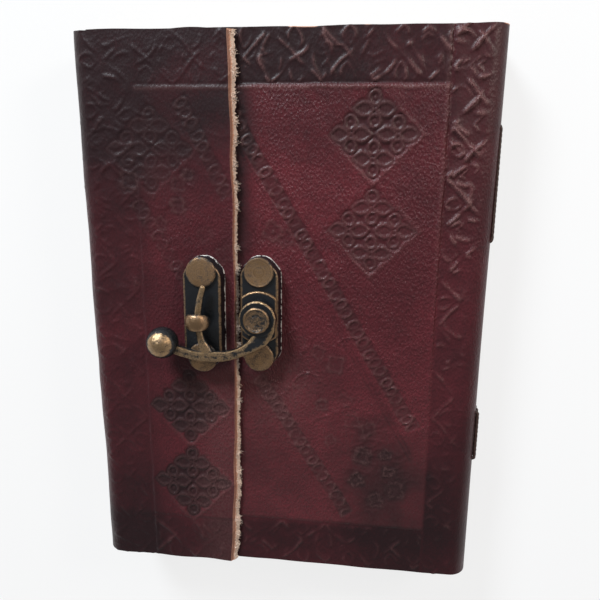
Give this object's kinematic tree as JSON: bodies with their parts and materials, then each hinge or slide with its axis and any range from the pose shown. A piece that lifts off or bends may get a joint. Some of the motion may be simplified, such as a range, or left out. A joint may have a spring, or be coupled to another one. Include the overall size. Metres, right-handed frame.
{
  "type": "diary with lock",
  "caption": "Leather wrap diary with a fore-edge flap, sewn gatherings of handmade paper and an antique brass swing clasp that locks the flap to the cover.",
  "frame": {"origin": "middle of the back cover's flat outer face, on which the closed diary lies", "axes": "+X towards the spine, +Y towards the head of the pages, +Z out of the front cover"},
  "size_m": [0.1312, 0.178, 0.039],
  "materials": {
    "embossed_leather": "oxblood leather with antiqued dark borders, embossed, semi-gloss",
    "handmade_paper": "cream handmade cotton paper with rough edges",
    "binding_cord": "dark waxed cord",
    "antique_brass": "antiqued brass, near-black patina worn to bronze on raised edges"
  },
  "bodies": {
    "diary": {"leather_wrap": "embossed_leather", "signature_1": "handmade_paper", "signature_2": "handmade_paper", "signature_3": "handmade_paper", "signature_4": "handmade_paper", "signature_5": "handmade_paper", "signature_6": "handmade_paper", "binding_thread_1": "binding_cord", "binding_thread_2": "binding_cord", "binding_thread_3": "binding_cord", "binding_thread_4": "binding_cord", "binding_thread_5": "binding_cord", "binding_thread_6": "binding_cord", "keeper_plate": "antique_brass", "pivot_plate": "antique_brass", "pivot_rivet": "antique_brass", "keeper_rivets": "antique_brass", "pivot_plate_rivets": "antique_brass", "keeper_rivet_washers": "antique_brass", "pivot_plate_rivet_washers": "antique_brass"},
    "swing_arm": {"clasp_arm": "antique_brass"}
  },
  "joints": [
    {"name": "clasp_arm_swing", "type": "hinge", "parent": "diary", "child": "swing_arm", "pos_m": [-0.007, 0.0019, 0.0302], "axis": [0, 0, 1], "range_deg": [0, 270]}
  ]
}
